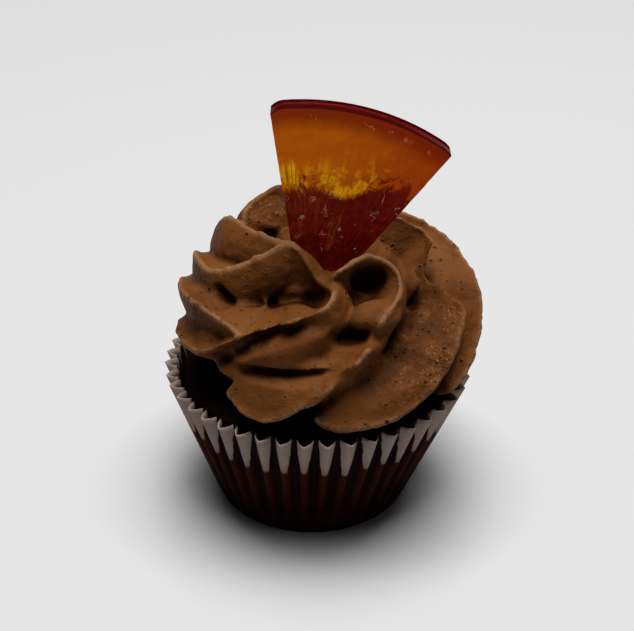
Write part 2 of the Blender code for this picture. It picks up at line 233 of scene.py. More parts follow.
def airPits():
    # group: small burst bubbles, as a mask that is 1 in the middle of each pit
    group = bpy.data.node_groups.new("airPits", "ShaderNodeTree")
    face = group.interface
    face.new_socket("Vector", in_out="INPUT", socket_type="NodeSocketVector")
    face.new_socket("Scale", in_out="INPUT", socket_type="NodeSocketFloat")
    face.new_socket("Share", in_out="INPUT", socket_type="NodeSocketFloat")
    face.new_socket("Size", in_out="INPUT", socket_type="NodeSocketFloat")
    face.new_socket("Pit", in_out="OUTPUT", socket_type="NodeSocketFloat")
    face.new_socket("Lip", in_out="OUTPUT", socket_type="NodeSocketFloat")
    start = group.nodes.new("NodeGroupInput")
    end = group.nodes.new("NodeGroupOutput")
    warp = node(group, "ShaderNodeTexNoise", Scale=700.0, Detail=1.0)
    link(group, start.outputs["Vector"], warp.inputs["Vector"])
    shake = node(group, "ShaderNodeVectorMath", operation="MULTIPLY_ADD")
    shake.inputs[1].default_value = (0.0012, 0.0012, 0.0012)
    link(group, warp.outputs["Color"], shake.inputs[0])
    link(group, start.outputs["Vector"], shake.inputs[2])
    cells = node(group, "ShaderNodeTexVoronoi")
    link(group, shake.outputs[0], cells.inputs["Vector"])
    link(group, start.outputs["Scale"], cells.inputs["Scale"])
    pick = node(group, "ShaderNodeSeparateColor")
    link(group, cells.outputs["Color"], pick.inputs[0])
    chosen = mathNode(group, "LESS_THAN", pick.outputs[0], start.outputs["Share"])
    width = times(group, start.outputs["Size"], plus(group, pick.outputs[1], 0.35))
    reach = over(group, cells.outputs["Distance"], width)
    pit = times(group, ramp(group, reach, 1.0, 0.35), chosen)
    lip = times(group, times(group, ramp(group, reach, 0.75, 1.05), ramp(group, reach, 1.7, 1.1)), chosen)
    link(group, pit, end.inputs["Pit"])
    link(group, lip, end.inputs["Lip"])
    return group


airPitsGroup = airPits()


def pitsNode(tree, vector, scale, share, size):
    made = tree.nodes.new("ShaderNodeGroup")
    made.node_tree = airPitsGroup
    link(tree, vector, made.inputs["Vector"])
    for name, value in (("Scale", scale), ("Share", share), ("Size", size)):
        if isinstance(value, (int, float)):
            made.inputs[name].default_value = value
        else:
            link(tree, value, made.inputs[name])
    return made.outputs["Pit"], made.outputs["Lip"]


# Camera, floor and studio light

studio = {
    "cameraReach": 0.320,
    "cameraHeight": 31.0,       # degrees above level
    "aim": (0.0, 0.0, 0.045),
    "lens": 79.58,
    "floorColour": (0.4, 0.4, 0.4),
    "keyPower": 52.0,
    "keySize": 1.02,
    "keyPlace": (0.06, 0.06, 1.56),
    "ambient": 0.05,
}


def makeStudio():
    aim = Vector(studio["aim"])
    lift = radians(studio["cameraHeight"])
    lens = bpy.data.cameras.new("photoCamera")
    camera = bpy.data.objects.new("photoCamera", lens)
    bpy.context.scene.collection.objects.link(camera)
    camera.location = aim + Vector((0, -cos(lift), sin(lift))) * studio["cameraReach"]
    camera.rotation_mode = "QUATERNION"
    camera.rotation_quaternion = (aim - camera.location).to_track_quat("-Z", "Y")
    lens.lens = studio["lens"]
    lens.sensor_width = 36.0
    lens.shift_x = -1 / 634
    lens.shift_y = -0.5 / 634
    lens.clip_start = 0.01
    lens.dof.use_dof = False
    bpy.context.scene.camera = camera

    bm = bmesh.new()
    bmesh.ops.create_grid(bm, x_segments=1, y_segments=1, size=2500)
    made, _, shader = startMaterial("paleFloor")
    shader.inputs["Base Color"].default_value = (*studio["floorColour"], 1)
    shader.inputs["Roughness"].default_value = 0.9
    floor = makeObject("floor", bm, made)

    lamp = bpy.data.lights.new("softKey", "AREA")
    lamp.energy = studio["keyPower"]
    lamp.size = studio["keySize"]
    key = bpy.data.objects.new("softKey", lamp)
    bpy.context.scene.collection.objects.link(key)
    key.location = studio["keyPlace"]
    key.rotation_mode = "QUATERNION"
    key.rotation_quaternion = (aim - key.location).to_track_quat("-Z", "Y")

    world = bpy.data.worlds.new("studioAir")
    world.use_nodes = True
    world.node_tree.nodes["Background"].inputs[0].default_value = (1, 1, 1, 1)
    world.node_tree.nodes["Background"].inputs[1].default_value = studio["ambient"]
    bpy.context.scene.world = world
    bpy.context.scene.view_settings.view_transform = "Standard"
    print("studio ready")


# Icing: twisted blades stood on a dome, fused, softened, dented and pitted

icing = {
    "middle": 2.0,
    "coreShrink": 12.5,
    "coreTop": 62.0,
    "voxel": 0.45,
    "voxelPressed": 0.46,
    "bladeDepth": 13.0,
    "bladeSteps": 60,
    "lip": 0.62,
    "floor": 34.1,
    "cutTries": 4,
    "cutNudge": 0.01,
    "seed": 7,
    "lightBrown": (0.128, 0.0445, 0.0105),
    "darkBrown": (0.07, 0.0215, 0.0042),
    # deep red-brown for the painted shade in the folds
    "foldShadeBrown": (0.02, 0.0035, 0.0006),
    # pale brown for the painted highlight along the crest lips
    "crestHighlight": (0.2, 0.1, 0.045),
    "tornDark": (0.03, 0.009, 0.0015),
    "tornPale": (0.26, 0.13, 0.05),
    # painted highlight for the pit rims, then painted shade for the pit insides
    "pitRimHighlight": (0.15, 0.07, 0.03),
    "pitShade": (0.012, 0.004, 0.002),
}
tornPlaces = (((23, -24, 46), 12), ((-9, 10, 68), 9), ((26, -12, 50), 9), ((-26, -12, 52), 7))
domeHeights = [30, 34, 42, 49, 56, 62, 66, 69, 71, 72]
domeRadii = [33, 34.5, 35.5, 34.7, 31, 25.5, 20, 14, 7, 0.01]
upperFlank = [(0, 0.03), (0.1, 0.12), (0.28, 0.36), (0.5, 0.7), (0.72, 0.95), (0.9, 1.0), (1.1, 0.8)]
lowerFlank = [
    (0, 0.03), (0.06, 0.22), (0.18, 0.52), (0.36, 0.82), (0.58, 1.0), (0.8, 0.9), (1.0, 0.6), (1.15, 0.3)]
thinTop = ((0, 0.45), (0.3, 0.6), (0.45, 0.9), (0.7, 1))
broadTop = ((0, 0.5), (0.15, 0.75), (0.3, 1))

# Each blade: its crest as turn, height and radius, then how far its flanks stand out and how it leans.
blades = {
    "front": dict(crest=[
        (-92, 65, 19), (-80, 67.3, 18), (-66, 68.4, 17), (-57, 68.2, 17), (-48.5, 66.9, 18.3),
        (-45, 65, 21.2),
        (-49, 62.9, 24), (-57.5, 61, 26.4), (-66, 59, 28.4), (-73, 55.4, 31.3), (-83, 50.8, 33.6),
        (-92, 46, 35), (-101, 42, 35.4), (-108, 39, 35.4), (-118, 38, 35.2), (-131, 41, 34)],
        upper=8, lower=6.6, lean=((0, 5), (0.62, 24)), ends=(3, 1.5),
        upLaw=((0, 0.3), (0.45, 0.3), (0.6, 0.42), (0.75, 0.8), (1, 1)),
        downLaw=((0, 0.4), (0.15, 0.65), (0.25, 0.95), (0.4, 1), (0.55, 1), (0.75, 0.8), (1, 0.5))),
    "overhang": dict(crest=[
        (-128, 69.5, 13), (-112, 69, 14.8), (-98, 67, 18.3), (-88, 65, 21.6), (-88, 63, 24),
        (-94, 61.2, 26.2),
        (-106, 59.1, 28.5), (-117, 57, 30.3), (-125, 54.8, 31.9), (-132, 52.1, 33.6), (-140, 49, 34.9),
        (-149, 47.3, 35), (-163, 46, 34.8), (-178, 44.5, 34.3)],
        upper=7.5, lower=9.5, lean=((0, 5), (0.3, 10), (0.42, 9), (0.8, 9), (1, 12)),
        under=(0.3, 0.72, 2.0, 4.6, 2.8),
        upLaw=((0, 0.35), (0.2, 0.2), (0.27, 0.3), (0.36, 0.85), (1, 1)),
        downLaw=((0, 0.4), (0.2, 0.55), (0.25, 0.75), (0.32, 1.05), (0.42, 1.15), (0.6, 1.1),
                 (0.7, 0.65), (0.78, 0.4), (1, 0.4))),
    "right": dict(crest=[
        (22, 69, 10), (12, 68.9, 16), (8, 65.3, 22), (-3, 63.6, 24.2), (-10, 60.9, 27), (-15, 57.5, 29.8),
        (-21, 53, 32.7), (-31, 50.7, 33.8), (-40, 46.5, 34.8), (-50, 42.5, 35.3), (-60, 39.6, 35.3),
        (-72, 37.6, 35), (-86, 37.5, 34.5), (-95, 39.5, 33.5)],
        upper=6, lower=7, lean=((0, 0), (0.2, 6), (0.28, 14), (0.36, 12), (0.62, 10)), ends=(3, 1.5),
        downLaw=((0, 0.45), (0.2, 0.3), (0.28, 0.2), (0.36, 0.3), (0.45, 0.8), (0.7, 1)),
        upLaw=((0, 0.3), (0.2, 0.3), (0.35, 0.55), (0.6, 0.9), (0.8, 1.3), (1, 1.5))),
    "leftInner": dict(crest=[
        (-118, 69, 12.5), (-130, 69, 14.5), (-138, 67.4, 18), (-146, 65.2, 21.5), (-155, 62.6, 25),
        (-166, 61, 27.5), (-180, 60, 29.3), (-196, 56.5, 31.5), (-208, 51, 33.8), (-220, 46, 35),
        (-235, 41, 35)],
        upper=5.5, lower=8.5, lean=((0, 5), (0.62, 12)), upLaw=broadTop,
        downLaw=((0, 0.45), (0.15, 0.6), (0.3, 1))),
    "leftOuter": dict(crest=[
        (-118, 69.5, 12.5), (-135, 69.5, 14), (-153, 69.2, 15), (-168, 68.8, 16.8), (-182, 69.3, 20.3),
        (-194, 67.2, 23.6), (-207, 62.2, 27.9), (-220, 56.5, 31.6), (-232, 50, 33.7), (-246, 45, 34.8),
        (-262, 40, 35)],
        upper=4.5, lower=8.5, lean=((0, 5), (0.62, 8)), upLaw=broadTop, downLaw=broadTop),
    "behindWedge": dict(crest=[
        (172, 65, 19), (163, 68.5, 19.5), (148, 69.4, 19), (128, 71.2, 17.5), (102, 72, 15), (75, 71, 12)],
        upper=4, lower=6, lean=((0, 0),), depth=9),
    "farRight": dict(crest=[
        (50, 65.5, 19.5), (38, 63, 24.4), (27, 60.3, 28.8), (14, 57.5, 31.3), (7, 55.5, 33), (1, 53.5, 34.2),
        (-4, 51, 35), (-9, 48.5, 35.3), (-17, 44.5, 35.4), (-28, 40.5, 35.2), (-40, 38, 34.8)],
        upper=6, lower=7, lean=((0, 5),), upLaw=thinTop, downLaw=thinTop),
    "lowLeft": dict(crest=[
        (-122, 51, 28), (-126, 54, 30.5), (-134, 56.2, 31.4), (-146, 57, 31.8), (-160, 56.2, 32.6),
        (-176, 54.2, 33.5), (-190, 51, 34.2), (-206, 46.5, 35), (-222, 42, 35)],
        upper=4.5, lower=6, lean=((0, 10),), depth=10,
        downLaw=((0, 0.5), (0.25, 0.7), (0.45, 1.1), (1, 1.1))),
}
plainCrest = [
    (0, 69.3, 14), (0, 67.2, 18.5), (0, 65, 21.6), (-5, 61.6, 25.8), (-19, 58.7, 28.7), (-31, 55, 31.5),
    (-42, 50.5, 33.8), (-52, 46, 35), (-66, 40.5, 35.3), (-80, 38, 35)]
for turn in (78, 122):
    blades["plain%d" % turn] = dict(
        crest=[(turn + a, z, r) for a, z, r in plainCrest], upper=7, lower=7, lean=((0, 0), (0.62, 18)),
        upLaw=thinTop, downLaw=thinTop)

# Dents: from, to, direction, radius, depth
dents = [
    ((9, -15, 63.0), (12, -15, 63.2), (-0.1, 0.75, -0.65), 3.0, 3.8),
    ((-22, -12, 58.6), (-18.5, -14.5, 55.6), (0.7, 0.5, -0.4), 1.8, 2.5),
]

# Valleys pressed towards the icing's heart: points and depths along each, then its radius
heart = (2, 0, 40)
levelGrooves = [
    ([(-22, -22, 46.6, 1.5), (-14, -27, 46.9, 3), (-6, -29.8, 47.4, 3.4), (2, -31, 48.4, 2.6),
      (7, -30.5, 49.6, 1)], 2.1),
]
undercuts = []      # grooves that addBlade lays just below a crest
valleys = [
    ([(26.5, -2.2, 62.5, 3), (27, -4.2, 60.5, 6), (26.8, -6.5, 58, 6), (26, -9.5, 54.5, 4)], 3.4),
    ([(24.1, -9.5, 54, 3), (21.7, -15.8, 50.7, 4), (19, -21.6, 48.8, 4), (16.5, -26.2, 47.2, 4),
      (11.4, -28.6, 45.2, 2.5)], 4.6),
    ([(-3, -15.5, 66.5, 2.0), (-1, -16.5, 64.5, 4.0), (0, -17.5, 62, 4.5)], 4.6),
    ([(4, -27, 55.5, 1.5), (7, -26, 55, 3.5), (10, -25, 54.5, 3.5), (12, -25, 55, 2)], 2.6),
    ([(-15, -15, 57, 1.0), (-8, -15, 57.7, 1.5), (-3, -16.5, 59.5, 2.0)], 2.6),
]


def domeRadius(z):
    return float(np.interp(z, domeHeights, domeRadii))


def smoothRun(points, count):
    knots = [Vector(p) for p in points]
    knots = [knots[0] * 2 - knots[1]] + knots + [knots[-1] * 2 - knots[-2]]
    spans = len(knots) - 3
    run = []
    for i in range(count):
        u = i / (count - 1) * spans
        k = min(int(u), spans - 1)
        f = u - k
        a, b, c, d = knots[k:k + 4]
        bend = 2 * a - 5 * b + 4 * c - d
        run.append(0.5 * (2 * b + (c - a) * f + bend * f * f + (3 * b - a - 3 * c + d) * f ** 3))
    return run


def lawAt(law, where):
    return float(np.interp(where, [p[0] for p in law], [p[1] for p in law]))


def bladeFrames(path, turns):
    # inward and across at each step, with across kept pointing up the dome
    frames = []
    last = len(path) - 1
    for i, point in enumerate(path):
        along = (path[min(i + 1, last)] - path[max(i - 1, 0)]).normalized()
        slope = (domeRadius(point.z + 1) - domeRadius(point.z - 1)) / 2
        inward = -Vector((cos(turns[i]), sin(turns[i]), -slope))
        inward = (inward - along * inward.dot(along)).normalized()
        frames.append([inward, along.cross(inward).normalized()])
    best = max(range(len(frames)), key=lambda i: abs(frames[i][1].z))
    if frames[best][1].z < 0:
        frames[best][1].negate()
    for i in range(best + 1, len(frames)):
        if frames[i][1].dot(frames[i - 1][1]) < 0:
            frames[i][1].negate()
    for i in range(best - 1, -1, -1):
        if frames[i][1].dot(frames[i + 1][1]) < 0:
            frames[i][1].negate()
    return frames


def addBlade(
        bm, crest, upper, lower, lean, depth=None, upLaw=((0, 1),), downLaw=((0, 1),),
        ends=(3, 3), under=None):
    depth = depth or icing["bladeDepth"]
    fine = smoothRun(crest, 240)
    world = [Vector((icing["middle"] + r * cos(radians(a)), r * sin(radians(a)), z)) for a, z, r in fine]
    reach = [0.0]
    for a, b in zip(world, world[1:]):
        reach.append(reach[-1] + (b - a).length)
    steps = np.linspace(0, reach[-1], icing["bladeSteps"])
    path = [Vector([float(np.interp(s, reach, [w[i] for w in world])) for i in range(3)]) for s in steps]
    turns = [radians(float(np.interp(s, reach, [p[0] for p in fine]))) for s in steps]
    frames = bladeFrames(path, turns)
    rings = []
    if under:
        first, last, drop, push, radius = under
        groove = []
        for i, (inward, across) in enumerate(frames):
            share = (i / (len(path) - 1) - first) / (last - first)
            if 0 <= share <= 1:
                groove.append((*(path[i] - across * drop + inward * 0.5), push * sin(pi * share) ** 0.5))
        undercuts.append((groove, radius))
    for i, (inward, across) in enumerate(frames):
        part = i / (len(path) - 1)
        tilt = radians(lawAt(lean, part))
        down = (inward * cos(tilt) + across * sin(tilt)).normalized()
        side = (across * cos(tilt) - inward * sin(tilt)).normalized()
        close = min(1.0, (steps[i] + 0.4) / ends[0], (reach[-1] - steps[i] + 0.8) / ends[1])
        close = sqrt(max(0.0, 1 - (1 - close) ** 2))
        sink = (1 - close) * 2.2
        up = upper * lawAt(upLaw, part)
        low = lower * lawAt(downLaw, part)
        outline = [(depth * d, up * w) for d, w in upperFlank]
        outline += [(depth * d, -low * w) for d, w in reversed(lowerFlank)]
        rings.append([path[i] + down * (d + sink) + side * (w * close) for d, w in outline])
    sweepRings(bm, rings)
    bead = []
    for i, (inward, across) in enumerate(frames):
        near = min(steps[i], reach[-1] - steps[i]) / 3
        size = icing["lip"] * sqrt(min(1.0, 0.15 + near)) * (0.8 + 0.3 * noise.noise(path[i] * 0.35))
        turnsRound = [2 * pi * k / 8 for k in range(8)]
        bead.append([
            path[i] + inward * (0.35 + size * cos(t)) + across * (0.25 + size * sin(t)) for t in turnsRound])
    sweepRings(bm, bead)
    return path


def addLump(bm, centre, radii, turn):
    made = bmesh.ops.create_icosphere(bm, subdivisions=3, radius=1)["verts"]
    place = Matrix.Translation(centre) @ Matrix.Rotation(radians(turn), 4, "Z") @ Matrix.Diagonal((*radii, 1))
    bmesh.ops.transform(bm, matrix=place, verts=made)


def pressDents(points):
    for start, end, aim, radius, depth in dents:
        aim = np.array(Vector(aim).normalized())
        start = np.array(start, float)
        line = np.array(end, float) - start
        line -= aim * line.dot(aim)
        off = points - start
        along = off @ aim
        flat = off - np.outer(along, aim)
        share = np.clip(flat @ line / line.dot(line), 0, 1)
        side = np.linalg.norm(flat - np.outer(share, line), axis=1) / radius
        inside = (side < 1) & (along > -9) & (along < depth + 7)
        weight = np.where(inside, np.clip(1 - side ** 2, 0, 1) ** 1.5, 0)
        points += np.outer(weight * depth, aim)


def pressValleys(points):
    # gaps are measured as seen from the heart, so a valley finds the surface above or below its line
    middle = np.array(heart, float)
    away = points - middle
    far = np.linalg.norm(away, axis=1)
    away /= far[:, None]
    level = -away * (1, 1, 0)
    level = level / np.linalg.norm(level, axis=1)[:, None] + (0, 0, 0.15)
    for aim, path, radius in [(-away, *v) for v in valleys] + [(level, *v) for v in levelGrooves + undercuts]:
        near = np.full(len(points), 1e9)
        amount = np.zeros(len(points))
        for start, end in zip(path, path[1:]):
            a, b = np.array(start[:3], float) - middle, np.array(end[:3], float) - middle
            line = b - a
            height = (np.linalg.norm(a) + np.linalg.norm(b)) / 2
            flat = away * height
            share = np.clip((flat - a) @ line / line.dot(line), 0, 1)
            gap = np.linalg.norm(flat - a - np.outer(share, line), axis=1)
            gap[far < height - 8] = 1e9
            closer = gap < near
            near = np.where(closer, gap, near)
            amount = np.where(closer, start[3] + (end[3] - start[3]) * share, amount)
        points += aim * (amount * np.clip(1 - (near / radius) ** 2, 0, 1) ** 2)[:, None]


def keepLargest(bm):
    left = set(bm.verts)
    bodies = []
    while left:
        body = {left.pop()}
        front = list(body)
        while front:
            for edge in front.pop().link_edges:
                for other in edge.verts:
                    if other not in body:
                        body.add(other)
                        front.append(other)
        left -= body
        bodies.append(body)
    keep = max(bodies, key=len)
    bmesh.ops.delete(bm, geom=[v for v in bm.verts if v not in keep], context="VERTS")


def skyHiddenShare(mesh, points, normals, rays=11, reach=13.0):
    # share of the sky that the surface's own folds hide, softened over the neighbours
    shape = bvhtree.BVHTree.FromPolygons(points.tolist(), [tuple(p.vertices) for p in mesh.polygons])
    rng = np.random.default_rng(icing["seed"])
    hidden = np.zeros(len(points))
    for _ in range(rays):
        aim = rng.normal(size=points.shape)
        aim /= np.linalg.norm(aim, axis=1)[:, None]
        aim = aim * 0.95 + normals
        aim[:, 2] += 0.35
        aim /= np.linalg.norm(aim, axis=1)[:, None]
        start = points + normals * 0.15
        for i, (place, way) in enumerate(zip(start.tolist(), aim.tolist())):
            far = shape.ray_cast(place, way, reach)[3]
            if far is not None:
                hidden[i] += 1 - 0.5 * far / reach
    hidden /= rays
    ends = np.empty(len(mesh.edges) * 2, np.int32)
    mesh.edges.foreach_get("vertices", ends)
    a, b = ends.reshape(-1, 2).T
    for _ in range(6):
        total = np.bincount(a, hidden[b], len(points)) + np.bincount(b, hidden[a], len(points))
        count = np.bincount(a, minlength=len(points)) + np.bincount(b, minlength=len(points))
        hidden = 0.4 * hidden + 0.6 * total / np.maximum(count, 1)
    return hidden


def cutBy(item, cutter):
    step = item.modifiers.new(cutter.name, "BOOLEAN")
    step.operation = "DIFFERENCE"
    step.object = cutter
    step.solver = "EXACT"


def icingMaterial():
    made, tree, shader = startMaterial("cocoaIcing")
    where = node(tree, "ShaderNodeTexCoord").outputs["Object"]
    crest = attributeValue(tree, "crest")
    rough = attributeValue(tree, "torn")
    broad = noiseValue(tree, where, 90.0, 3.0)
    fine = noiseValue(tree, where, 650.0, 3.0, 0.6)
    grit = noiseValue(tree, where, 1900.0, 2.0, 0.6)
    share = plus(tree, 0.045, times(tree, rough, 0.3))
    bigPit, bigLip = pitsNode(tree, where, 470.0, share, 0.24)
    smallPit, smallLip = pitsNode(tree, where, 950.0, plus(tree, share, 0.07), 0.3)
    pit = most(tree, bigPit, times(tree, smallPit, 0.8))
    lip = most(tree, bigLip, smallLip)
    # painted highlight: the icing is lighter along the crests and lightest on their lips, where they catch
    # the light
    tone = plus(tree, ramp(tree, broad, 0.3, 0.7, 0.25, 0.75), times(tree, crest, 0.35))
    tone = plus(tree, tone, times(tree, minus(tree, fine, 0.5), 0.5), clamp=True)
    colour = mixColour(tree, tone, icing["darkBrown"], icing["lightBrown"])
    colour = mixColour(tree, ramp(tree, crest, 0.35, 0.95, 0.0, 0.7), colour, icing["crestHighlight"])
    patch = times(tree, rough, ramp(tree, noiseValue(tree, where, 210.0, 3.0, 0.6), 0.38, 0.62))
    # painted shade: torn places are darkened for the small shadows in their rough surface
    colour = mixColour(tree, times(tree, rough, 0.45), colour, icing["darkBrown"])
    colour = mixColour(tree, times(tree, patch, 0.6), colour, icing["tornDark"])
    speck = times(tree, ramp(tree, grit, 0.58, 0.66), ramp(tree, minus(tree, rough, patch), 0.15, 0.6))
    colour = mixColour(tree, times(tree, speck, 0.45), colour, icing["tornPale"])
    # painted shade: where the folds hide much of the sky, the icing is darkened towards a deep red-brown
    colour = mixColour(tree, ramp(tree, attributeValue(tree, "foldShade"), 0.1, 0.5), colour, icing["foldShadeBrown"])
    # painted highlight on the rim round each pit, and painted shade inside it
    colour = mixColour(tree, times(tree, lip, 0.15), colour, icing["pitRimHighlight"])
    colour = mixColour(tree, times(tree, pit, 0.75), colour, icing["pitShade"])
    link(tree, colour, shader.inputs["Base Color"])
    link(tree, ramp(tree, fine, 0.2, 0.8, 0.45, 0.65), shader.inputs["Roughness"])
    shader.inputs["Specular IOR Level"].default_value = 0.035
    height = minus(tree, times(tree, fine, 0.55), pit)
    height = plus(tree, height, times(tree, lip, 0.25))
    height = plus(tree, height, times(tree, grit, 0.2))
    crumble = times(tree, rough, noiseValue(tree, where, 330.0, 3.0, 0.6))
    height = plus(tree, height, times(tree, crumble, 1.6))
    bumpInto(tree, shader, height, 0.8, 0.0006)
    return made


def makeIcing(cutters):
    bm = bmesh.new()
    heights = np.linspace(33, icing["coreTop"], 18)
    radii = [max(domeRadius(z) - icing["coreShrink"], 0.5) for z in heights]
    sweepRings(bm, [circlePoints(r, z, 48, icing["middle"]) for r, z in zip(radii, heights)])
    crests = []
    for blade in blades.values():
        crests += addBlade(bm, **blade)
    addLump(bm, (12.0, -21.5, 57.6), (6.0, 4.0, 3.4), 25)
    addLump(bm, (2.0, 2.0, 60.0), (13.0, 12.0, 6.5), 0)
    bmesh.ops.recalc_face_normals(bm, faces=bm.faces)
    rough = makeObject("icingRough", bm)
    step = rough.modifiers.new("fuse", "REMESH")
    step.mode = "VOXEL"
    step.voxel_size = icing["voxel"] * mm
    step = rough.modifiers.new("soften", "SMOOTH")
    step.iterations = 1
    mesh = applyModifiers(rough)
    bm = bmesh.new()
    bm.from_mesh(mesh)
    keepLargest(bm)
    bm.to_mesh(mesh)
    bm.free()
    points = readPoints(mesh) / mm
    pressValleys(points)
    pressDents(points)
    writePoints(mesh, points * mm)

    # hand-made unevenness, stronger along the crests
    tree = kdtree.KDTree(len(crests))
    for i, place in enumerate(crests):
        tree.insert(place, i)
    tree.balance()
    near = np.array([tree.find(Vector(p))[2] for p in points.tolist()])
    crest = np.exp(-(near / 1.6) ** 2)
    normals = pointNormals(mesh)
    amount = wander(points, 0.12, 1) * 0.35 + wander(points, 0.45, 2) * (0.14 + 0.3 * crest)
    points = points + normals * amount[:, None]
    low, high = (np.array(corner, float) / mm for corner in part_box("frosting"))
    points[:, :2] = np.clip(points[:, :2], low[:2] + 0.02, high[:2] - 0.02)
    writePoints(mesh, points * mm)

    # fused once more, so that no fold runs through another where the cutters pass
    step = linkMesh("icingPressed", mesh).modifiers.new("fuse", "REMESH")
    step.mode = "VOXEL"
    step.voxel_size = icing["voxelPressed"] * mm
    whole = applyModifiers(step.id_data)
    for nudge in range(icing["cutTries"]):
        item = linkMesh("icingWhole", whole.copy())
        for cutter in cutters:
            cutter.location.x = icing["cutNudge"] * mm * nudge
            cutBy(item, cutter)
        mesh = applyModifiers(item)
        bm = bmesh.new()
        bm.from_mesh(mesh)
        keepLargest(bm)
        bmesh.ops.triangulate(bm, faces=[f for f in bm.faces if len(f.verts) > 4])
        bm.to_mesh(mesh)
        bm.free()
        points = readPoints(mesh) / mm
        if np.all(points < high + 1) and np.all(points > low - 1):
            break
        print("icing cut again", points.min(axis=0), points.max(axis=0))
    near = np.array([tree.find(Vector(p))[2] for p in points.tolist()])
    addAttribute(mesh, "crest", np.exp(-(near / 1.2) ** 2))
    torn = np.zeros(len(points))
    for centre, reach in tornPlaces:
        torn = np.maximum(torn, np.exp(-(np.linalg.norm(points - np.array(centre), axis=1) / reach) ** 2))
    addAttribute(mesh, "torn", torn)
    rays = 11
    # how much of the sky each point's folds hide, used for the painted shade in the icing's colour
    addAttribute(mesh, "foldShade", skyHiddenShare(mesh, points, pointNormals(mesh), rays))
    made = linkMesh("icingFolds", mesh, icingMaterial())
    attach(made, "root")
    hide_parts("frosting")
    print("icing ready", len(mesh.polygons))


# Paper case: one sheet extruded up in rings, folded into pleats, then given its thickness

paper = {
    "pleats": 44,
    "turn": 3.5,
    "perPleat": 10,
    "rings": 22,
    "height": 33.5,
    "baseRadius": 22.6,
    "rimRadius": 34.2,
    "baseShift": -1.5,
    "depthRim": 1.4,
    "depthFoot": 0.3,
    "thickness": 0.22,
    "seed": 3,
    "dryPaper": (0.29, 0.22, 0.185),
    "soakedPaper": (0.013, 0.0012, 0.0006),
    "stainEdge": (0.12, 0.085, 0.05),
    "soakedRidge": (0.045, 0.005, 0.002),
    "tongueLength": 0.33,       # share of the wall's height
}


def pleatWave(place):
    # place is -0.5 to 0.5 about the middle of a fold; 1 on the fold, -1 in the valley between
    side = abs(place)
    if side < 0.29:
        return 1 - 1.1 * (side / 0.29) ** 1.3
    drop = min(1.0, (side - 0.29) / 0.11)
    return -0.1 - 0.9 * drop * drop * (3 - 2 * drop)


def wallPoint(column, share):
    count = paper["perPleat"]
    fold = column // count
    place = column / count - fold - 0.5
    wobble = noise.noise(Vector((fold * 3.1, paper["seed"], share * 0.8)))
    lean = 0.10 * noise.noise(Vector((fold * 5.3, 9.0, share * 1.5)))
    foot = paper["baseRadius"] + 0.5
    radius = foot + (paper["rimRadius"] - foot) * share
    depth = paper["depthFoot"] + (paper["depthRim"] - paper["depthFoot"]) * share ** 0.9
    wave = pleatWave(place)
    reach = radius + depth * (wave if wave < 0 else wave * (1 - 0.18 * abs(wobble))) - 0.1 * abs(wobble)
    around = fold + place + lean * (1 - abs(place) * 2)
    angle = 2 * pi * around / paper["pleats"] - pi / 2 + radians(paper["turn"])
    height = 1.6 + (paper["height"] - 1.6) * share
    shift = paper["baseShift"] * (1 - height / paper["height"])
    return Vector((shift + reach * cos(angle), reach * sin(angle), height))


def paperMaterial():
    made, tree, shader = startMaterial("stainedPaper")
    sheet = node(tree, "ShaderNodeUVMap", uv_map="UVMap").outputs["UV"]
    where = node(tree, "ShaderNodeTexCoord").outputs["Object"]
    parts = node(tree, "ShaderNodeSeparateXYZ")
    link(tree, sheet, parts.inputs[0])
    aroundSheet = times(tree, parts.outputs[0], float(paper["pleats"]))
    fold = mathNode(tree, "FLOOR", aroundSheet)
    across = mathNode(tree, "ABSOLUTE", minus(tree, mathNode(tree, "FRACT", aroundSheet), 0.5))
    each = node(tree, "ShaderNodeTexWhiteNoise", noise_dimensions="1D")
    link(tree, fold, each.inputs["W"])
    fall = over(tree, minus(tree, 1.0, parts.outputs[1]), paper["tongueLength"])
    fall = plus(tree, fall, times(tree, minus(tree, each.outputs["Value"], 0.5), 0.18))
    edge = noiseValue(tree, where, 420.0, 3.0)
    narrow = plus(tree, times(tree, fall, 0.13), times(tree, times(tree, fall, fall), 0.13))
    width = minus(tree, 0.40, narrow)
    width = plus(tree, width, times(tree, minus(tree, edge, 0.5), 0.12))
    inFold = ramp(tree, minus(tree, width, across), -0.015, 0.03)
    above = ramp(tree, fall, 1.03, 0.93)
    dry = times(tree, inFold, above)
    grain = noiseValue(tree, where, 1500.0, 4.0, 0.7)
    blotch = noiseValue(tree, where, 160.0, 3.0, 0.6)
    shaded = tuple(0.8 * v for v in paper["dryPaper"])
    dryTone = mixColour(tree, ramp(tree, grain, 0.3, 0.7), shaded, paper["dryPaper"])
    warm = times(tree, ramp(tree, fall, 0.6, 1.0), 0.45)
    dryTone = mixColour(tree, warm, dryTone, paper["stainEdge"])
    darkest = tuple(0.4 * v for v in paper["soakedPaper"])
    wetTone = mixColour(tree, ramp(tree, blotch, 0.35, 0.7), darkest, paper["soakedPaper"])
    ridge = times(tree, ramp(tree, across, 0.3, 0.12), ramp(tree, parts.outputs[1], 0.15, 0.6))
    wetTone = mixColour(tree, times(tree, ridge, 0.5), wetTone, paper["soakedRidge"])
    link(tree, mixColour(tree, dry, wetTone, dryTone), shader.inputs["Base Color"])
    link(tree, ramp(tree, dry, 0.0, 1.0, 0.5, 0.8), shader.inputs["Roughness"])
    shader.inputs["Specular IOR Level"].default_value = 0.02
    height = plus(tree, times(tree, grain, 0.5), blotch)
    bumpInto(tree, shader, height, 0.35, 0.0003)
    return made


